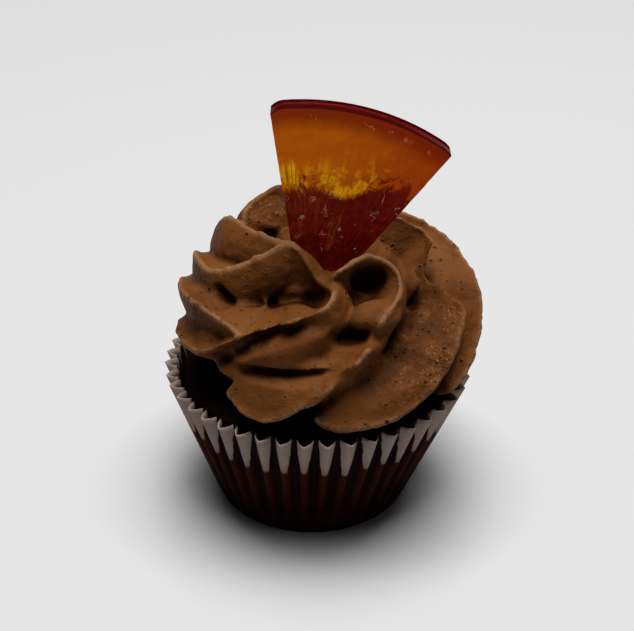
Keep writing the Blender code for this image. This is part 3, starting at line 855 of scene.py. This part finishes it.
def makePaper():
    bm = bmesh.new()
    count = paper["pleats"] * paper["perPleat"]
    column = bm.verts.layers.int.new("column")
    share = bm.verts.layers.float.new("share")
    made = bmesh.ops.create_circle(bm, cap_ends=False, segments=count, radius=paper["baseRadius"])["verts"]
    for i, vertex in enumerate(made):
        vertex[column] = i
        vertex[share] = -0.05
        angle = 2 * pi * (i / paper["perPleat"] - 0.5) / paper["pleats"] - pi / 2 + radians(paper["turn"])
        x = paper["baseShift"] + paper["baseRadius"] * cos(angle)
        vertex.co = Vector((x, paper["baseRadius"] * sin(angle), 0))
    edges = list(bm.edges)
    first = list(edges)
    for k in range(paper["rings"] + 1):
        part = k / paper["rings"]
        geom = bmesh.ops.extrude_edge_only(bm, edges=edges)["geom"]
        edges = picked(geom, bmesh.types.BMEdge)
        for vertex in picked(geom, bmesh.types.BMVert):
            vertex.co = wallPoint(vertex[column], part)
            vertex[share] = part
    # the flat foot: rings drawn in towards the middle, closed with a small face
    edges = first
    for radius in (21.8, 17.0, 9.0, 2.0):
        geom = bmesh.ops.extrude_edge_only(bm, edges=edges)["geom"]
        edges = picked(geom, bmesh.types.BMEdge)
        for vertex in picked(geom, bmesh.types.BMVert):
            flat = Vector((vertex.co.x - paper["baseShift"], vertex.co.y, 0)).normalized() * radius
            vertex.co = Vector((flat.x + paper["baseShift"], flat.y, 0.0))
            vertex[share] = -0.05 - (23 - radius) / 34
    bmesh.ops.contextual_create(bm, geom=edges)
    bmesh.ops.recalc_face_normals(bm, faces=bm.faces)
    low = min(bm.faces, key=lambda f: f.calc_center_median().z)
    if low.normal.z > 0:
        bmesh.ops.reverse_faces(bm, faces=bm.faces)
    uv = bm.loops.layers.uv.new("UVMap")
    for face in bm.faces:
        columns = [v[column] for v in face.verts]
        wraps = max(columns) - min(columns) > count / 2
        for loop in face.loops:
            place = loop.vert[column]
            if wraps and place < count / 2:
                place += count
            loop[uv].uv = (place / count, loop.vert[share])
    bmesh.ops.solidify(bm, geom=list(bm.faces), thickness=paper["thickness"])
    piece = makeObject("pleatedPaper", bm, paperMaterial())
    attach(piece, "root")
    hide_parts("paper_case")
    print("paper ready", len(piece.data.polygons))


# Cake: a domed crumb that fills the case

cake = {
    "crown": 37.2,
    "shoulder": 30.3,
    "edge": 31.5,
    "steps": 150,
    "crumb": (0.010, 0.0028, 0.0018),
    "crumbWarm": (0.02, 0.004, 0.0025),
    # near black for the painted shade inside the crumb's holes
    "crumbHoleShade": (0.003, 0.001, 0.001),
}


def cakeMaterial():
    made, tree, shader = startMaterial("darkCrumb")
    where = node(tree, "ShaderNodeTexCoord").outputs["Object"]
    grain = noiseValue(tree, where, 700.0, 5.0, 0.7)
    broad = noiseValue(tree, where, 150.0, 3.0)
    hole, _ = pitsNode(tree, where, 500.0, 0.45, 0.4)
    dark = tuple(0.35 * v for v in cake["crumb"])
    colour = mixColour(tree, ramp(tree, grain, 0.3, 0.75), dark, cake["crumb"])
    colour = mixColour(tree, ramp(tree, broad, 0.4, 0.7, 0.0, 0.5), colour, cake["crumbWarm"])
    # painted shade inside the crumb's holes
    colour = mixColour(tree, hole, colour, cake["crumbHoleShade"])
    link(tree, colour, shader.inputs["Base Color"])
    link(tree, ramp(tree, grain, 0.2, 0.8, 0.6, 0.9), shader.inputs["Roughness"])
    shader.inputs["Specular IOR Level"].default_value = 0.03
    bumpInto(tree, shader, minus(tree, grain, hole), 0.9, 0.0007)
    return made


def makeCake():
    rim, shoulder, crown = cake["edge"], cake["shoulder"], cake["crown"]
    profile = [
        (0.0, 0.9), (19.6, 0.9), (21.3, 1.2), (22.9, 6.0), (25.7, 14.0), (28.5, 22.0), (30.6, shoulder - 1.5),
        (rim - 0.2, shoulder + 0.7), (rim - 1.0, shoulder + 2.2), (rim - 3.2, shoulder + 3.6),
        (25.0, crown - 2.2), (18.0, crown - 1.1), (9.0, crown - 0.3), (0.0, crown),
    ]
    run = smoothRun([(r, 0, z) for r, z in profile], 64)
    bm = bmesh.new()
    points = [bm.verts.new((max(p.x, 0.0), 0, p.z)) for p in run]
    edges = [bm.edges.new(pair) for pair in zip(points, points[1:])]
    bmesh.ops.spin(
        bm, geom=points + edges, angle=2 * pi, steps=cake["steps"], axis=(0, 0, 1), cent=(0, 0, 0),
        use_merge=True)
    bmesh.ops.remove_doubles(bm, verts=bm.verts, dist=0.002)
    bmesh.ops.recalc_face_normals(bm, faces=bm.faces)
    for vertex in bm.verts:
        vertex.co.x += paper["baseShift"] * max(0, 1 - vertex.co.z / paper["height"])
        if vertex.co.z > 28:
            lumps = noise.fractal(vertex.co * 0.5, 1.0, 2.0, 3)
            vertex.co -= vertex.normal * (0.25 + 0.35 * lumps)
    piece = makeObject("cakeCrumb", bm, cakeMaterial())
    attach(piece, "root")
    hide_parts("cake")
    print("cake ready", len(piece.data.polygons))


# Candied orange wedge: a grid bent into a sector, given its thickness, then worked on both faces

wedge = {
    "point": (-3.3, 48.5),
    "radius": 51.2,
    "left": -7.4,
    "right": 37.5,
    "front": -9.2,
    "thick": 4.3,
    "across": 90,
    "along": 110,
    "rind": (0.09, 0.0006, 0.0012),
    "pith": (0.42, 0.085, 0.001),
    "pithRight": (0.33, 0.04, 0.0005),
    "amber": (0.6, 0.27, 0.002),
    "fleshLight": (0.14, 0.008, 0.001),
    "fleshDark": (0.12, 0.0025, 0.001),
    "fleshDeep": (0.045, 0.0008, 0.0008),
    # lighter brown for the painted light showing through the flesh
    "fleshBacklit": (0.3, 0.055, 0.004),
    "fibres": (0.4, 0.12, 0.02),
    "glints": (0.7, 0.42, 0.34),
    "pithStreak": (0.5, 0.13, 0.002),
    "underRind": (0.2, 0.012, 0.001),
    "membrane": (0.13, 0.006, 0.001),
    # pale pink for the painted glints along the rind's edge
    "rindGlints": (0.75, 0.28, 0.12),
    "inner": 1.5,
    "edge": 0.7,
}


def wedgePlace(s, radius):
    angle = radians(wedge["left"] + (wedge["right"] - wedge["left"]) * s)
    px, pz = wedge["point"]
    return px + radius * sin(angle), pz + radius * cos(angle)


def spot(tree, turn, reach, middle, size, rough=None):
    # soft blob on the slice's face, about one place in turn and reach
    across = over(tree, minus(tree, turn, middle[0]), size[0])
    along = over(tree, minus(tree, reach, middle[1]), size[1])
    far = plus(tree, times(tree, across, across), times(tree, along, along))
    if rough is not None:
        far = plus(tree, far, times(tree, minus(tree, rough, 0.5), 2.4))
    return ramp(tree, far, 1.0, 0.15)


def thinLines(tree, value, width):
    # fine wandering lines where a noise crosses its middle
    return ramp(tree, mathNode(tree, "ABSOLUTE", minus(tree, value, 0.5)), width, width * 0.3)


def wedgeMaterial():
    made, tree, shader = startMaterial("candiedOrange")
    polar = node(tree, "ShaderNodeUVMap", uv_map="UVMap").outputs["UV"]
    where = node(tree, "ShaderNodeTexCoord").outputs["Object"]
    parts = node(tree, "ShaderNodeSeparateXYZ")
    link(tree, polar, parts.inputs[0])
    # turn is 0 to 1 round the slice, reach 0 at the point and 1 at the skin
    turn, reach = parts.outputs[0], parts.outputs[1]
    broad = noiseValue(tree, where, 130.0, 3.0)
    middling = noiseValue(tree, where, 330.0, 3.0)
    fine = noiseValue(tree, where, 600.0, 4.0, 0.65)
    grain = node(tree, "ShaderNodeMapping")
    grain.inputs["Scale"].default_value = (46.0, 5.0, 1.0)
    link(tree, polar, grain.inputs["Vector"])
    streak = noiseValue(tree, grain.outputs[0], 1.0, 4.0, 0.6, 0.4)

    # flesh ends at a ragged line, higher on the right
    border = plus(tree, ramp(tree, turn, 0.5, 0.88, 0.63, 0.75), times(tree, minus(tree, broad, 0.5), 0.1))
    border = plus(tree, border, times(tree, minus(tree, streak, 0.5), 0.12))
    depth = minus(tree, reach, border)
    flesh = ramp(tree, depth, 0.012, -0.02)

    # pith: deep orange, redder to the right and next to the skin, amber where light comes through
    pith = mixColour(tree, ramp(tree, turn, 0.25, 1.0), wedge["pith"], wedge["pithRight"])
    pith = mixColour(tree, times(tree, ramp(tree, streak, 0.35, 0.75), 0.25), pith, wedge["pithStreak"])
    skinSide = plus(tree, reach, times(tree, minus(tree, middling, 0.5), 0.04))
    pith = mixColour(tree, ramp(tree, skinSide, 0.88, 0.975, 0.0, 0.85), pith, wedge["underRind"])
    band = times(tree, ramp(tree, depth, 0.19, 0.04), ramp(tree, turn, 0.85, 0.6))
    lit = times(tree, band, ramp(tree, middling, 0.47, 0.62, 0.0, 0.8))
    lit = most(tree, lit, spot(tree, turn, reach, (0.07, 0.71), (0.09, 0.06), fine))
    lit = most(tree, lit, times(tree, spot(tree, turn, reach, (0.36, 0.685), (0.09, 0.035), fine), 0.8))
    lit = most(tree, lit, times(tree, spot(tree, turn, reach, (0.62, 0.70), (0.05, 0.025), fine), 0.7))
    pith = mixColour(tree, lit, pith, wedge["amber"])
    skins = thinLines(tree, noiseValue(tree, where, 260.0, 2.0, 0.5, 1.0), 0.035)
    skins = times(tree, skins, ramp(tree, depth, 0.1, 0.03))
    skins = times(tree, skins, ramp(tree, broad, 0.35, 0.5))
    skins = most(tree, skins, times(tree, lit, ramp(tree, streak, 0.5, 0.36, 0.0, 0.8)))
    skins = most(tree, skins, spot(tree, turn, reach, (0.91, 0.71), (0.07, 0.10), middling))
    pith = mixColour(tree, times(tree, skins, 0.85), pith, wedge["membrane"])
    # painted highlight: small pale glints along the front edge of the rind
    skinLine = mathNode(tree, "ABSOLUTE", minus(tree, reach, 0.955))
    rindGlints = times(tree, ramp(tree, fine, 0.6, 0.68), ramp(tree, skinLine, 0.016, 0.008))
    pith = mixColour(tree, times(tree, rindGlints, 0.5), pith, wedge["rindGlints"])

    # flesh: deep red, lighter brown in streaks for painted light showing through it, with pale fibres and
    # tiny painted wet glints
    pulp = mixColour(tree, ramp(tree, turn, 0.2, 0.5), wedge["fleshLight"], wedge["fleshDark"])
    # painted light: lighter brown streaks, mostly to the left, where light shows through the flesh
    backlitStreak = times(tree, ramp(tree, streak, 0.4, 0.7), ramp(tree, turn, 0.6, 0.3, 0.25, 0.9))
    backlitStreak = times(tree, backlitStreak, ramp(tree, depth, -0.3, -0.03, 0.15, 0.75))
    pulp = mixColour(tree, backlitStreak, pulp, wedge["fleshBacklit"])
    fibre = spot(tree, turn, reach, (0.53, 0.45), (0.09, 0.10), middling)
    fibre = times(tree, fibre, ramp(tree, streak, 0.42, 0.58))
    pulp = mixColour(tree, times(tree, fibre, 0.8), pulp, wedge["fibres"])
    pulp = mixColour(tree, ramp(tree, fine, 0.62, 0.4, 0.0, 0.45), pulp, wedge["fleshDeep"])
    colour = mixColour(tree, flesh, pith, pulp)
    wetLine = thinLines(tree, noiseValue(tree, where, 420.0, 2.0, 0.5, 1.4), 0.022)
    glint = times(tree, wetLine, times(tree, flesh, ramp(tree, middling, 0.56, 0.62)))
    colour = mixColour(tree, times(tree, glint, 0.7), colour, wedge["glints"])
    rind = ramp(tree, reach, 0.99, 0.998)
    colour = mixColour(tree, rind, colour, wedge["rind"])
    link(tree, colour, shader.inputs["Base Color"])

    # light that comes through from behind
    through = mixColour(tree, ramp(tree, turn, 0.25, 1.0), (0.10, 0.019, 0.0), (0.07, 0.008, 0.0))
    through = mixColour(tree, lit, through, (0.22, 0.1, 0.0005))
    through = mixColour(tree, ramp(tree, skinSide, 0.88, 0.975, 0.0, 0.8), through, (0.03, 0.001, 0.0))
    through = mixColour(tree, times(tree, skins, 0.9), through, (0.01, 0.0, 0.0))
    through = mixColour(tree, flesh, through, (0.02, 0.0006, 0.0))
    through = mixColour(tree, rind, through, (0.0, 0.0, 0.0))
    link(tree, through, shader.inputs["Emission Color"])
    shader.inputs["Emission Strength"].default_value = 1.0
    link(tree, ramp(tree, flesh, 0.0, 1.0, 0.32, 0.16), shader.inputs["Roughness"])
    shader.inputs["Specular IOR Level"].default_value = 0.03
    cells = node(tree, "ShaderNodeTexVoronoi", feature="SMOOTH_F1", Smoothness=0.35)
    cellPlace = node(tree, "ShaderNodeMapping")
    cellPlace.inputs["Scale"].default_value = (20.0, 11.0, 1.0)
    link(tree, polar, cellPlace.inputs["Vector"])
    link(tree, cellPlace.outputs[0], cells.inputs["Vector"])
    cells.inputs["Scale"].default_value = 1.0
    relief = times(tree, minus(tree, 1.0, cells.outputs["Distance"]), flesh)
    relief = plus(tree, relief, times(tree, fine, 0.35))
    bumpInto(tree, shader, relief, 0.8, 0.0011)
    return made


def makeWedge():
    bm = bmesh.new()
    bmesh.ops.create_grid(bm, x_segments=wedge["across"], y_segments=wedge["along"], size=1)
    polar = bm.loops.layers.uv.new("UVMap")
    inner = wedge["inner"]
    place = {}
    for vertex in bm.verts:
        s = (vertex.co.x + 1) / 2
        t = (vertex.co.y + 1) / 2
        place[vertex] = (s, t)
    for face in bm.faces:
        for loop in face.loops:
            s, t = place[loop.vert]
            loop[polar].uv = (s, (inner + (wedge["radius"] - inner) * t) / wedge["radius"])
    for vertex, (s, t) in place.items():
        radius = inner + (wedge["radius"] - inner) * t
        corner = max(0.0, 1 - s / 0.07) ** 2 * 0.022 + max(0.0, 1 - (1 - s) / 0.05) ** 2 * 0.008
        radius *= 1 - corner * t ** 6
        x, z = wedgePlace(s, radius)
        vertex.co = (x, 0, z)
    front = list(bm.faces)
    made = bmesh.ops.extrude_face_region(bm, geom=front)["geom"]
    moved = picked(made, bmesh.types.BMVert)
    bmesh.ops.translate(bm, vec=(0, wedge["front"] + wedge["thick"], 0), verts=moved)
    back = set(moved)
    for vertex in bm.verts:
        if vertex not in back:
            vertex.co.y = wedge["front"]
    bmesh.ops.recalc_face_normals(bm, faces=bm.faces)
    sharp = [e for e in bm.edges if e.calc_face_angle(0) > radians(40)]
    bmesh.ops.bevel(
        bm, geom=sharp, offset=wedge["edge"], segments=3, profile=0.5, affect="EDGES", clamp_overlap=True,
        material=-1)
    return bm


def finishWedge():
    bm = makeWedge()
    if bm.calc_volume(signed=True) < 0:
        bmesh.ops.reverse_faces(bm, faces=bm.faces)
    bm.normal_update()
    px, pz = wedge["point"]
    for vertex in bm.verts:
        dx, dz = vertex.co.x - px, vertex.co.z - pz
        reach = sqrt(dx * dx + dz * dz) / wedge["radius"]
        side = noise.fractal(vertex.co * 0.3, 1.0, 2.0, 3)
        flesh = min(1.0, max(0.0, (0.7 - reach) / 0.06))
        uneven = 0.12 + 0.18 * side + flesh * (0.22 + 0.3 * noise.noise(vertex.co * 0.55))
        vertex.co -= vertex.normal * (0.05 + uneven * min(1.0, max(0.0, (0.975 - reach) / 0.05)))
    piece = makeObject("candiedWedge", bm, wedgeMaterial())
    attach(piece, "root")
    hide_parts("orange_wedge")
    print("wedge ready", len(piece.data.polygons))


# What the icing is cut by: the cake and rim below it, and the slot round the wedge

cutterShape = {
    "wide": 46.0,
    "low": 8.0,
    "rim": 31.9,
    "crown": 37.4,
    "gap": 0.3,
}


def makeCutters():
    bm = bmesh.new()
    gap = cutterShape["gap"]
    crown = cutterShape["crown"] + gap
    profile = [(cutterShape["wide"], cutterShape["low"]), (cutterShape["wide"], icing["floor"])]
    profile += [(cutterShape["rim"] - 5.5, 35.2 + gap), (18.0, crown - 1.1), (9.0, crown - 0.3), (2.0, crown)]
    sweepRings(bm, [circlePoints(r, z, 96) for r, z in profile])
    bmesh.ops.recalc_face_normals(bm, faces=bm.faces)
    below = makeObject("belowIcing", bm)
    bm = bmesh.new()
    middle = radians((wedge["left"] + wedge["right"]) / 2)
    half = radians((wedge["right"] - wedge["left"]) / 2)
    px, pz = wedge["point"]
    back = gap / sin(half)
    outline = [(px - sin(middle) * back, pz - cos(middle) * back)]
    for k in range(13):
        angle = radians(wedge["left"] + (wedge["right"] - wedge["left"]) * k / 12)
        reach = wedge["radius"] + gap
        x = px + reach * sin(angle)
        z = pz + reach * cos(angle)
        if k == 0:
            x, z = x - gap * cos(angle), z + gap * sin(angle)
        if k == 12:
            x, z = x + gap * cos(angle), z - gap * sin(angle)
        outline.append((x, z))
    face = bm.faces.new([bm.verts.new((x, wedge["front"] - gap, z)) for x, z in outline])
    made = bmesh.ops.extrude_face_region(bm, geom=[face])["geom"]
    moved = picked(made, bmesh.types.BMVert)
    bmesh.ops.translate(bm, vec=(0, wedge["thick"] + 2 * gap, 0), verts=moved)
    bmesh.ops.recalc_face_normals(bm, faces=bm.faces)
    slot = makeObject("wedgeSlot", bm)
    return [below, slot]


makeStudio()
cutters = makeCutters()
makeIcing(cutters)
for cutter in cutters:
    bpy.data.objects.remove(cutter)
makePaper()
makeCake()
finishWedge()
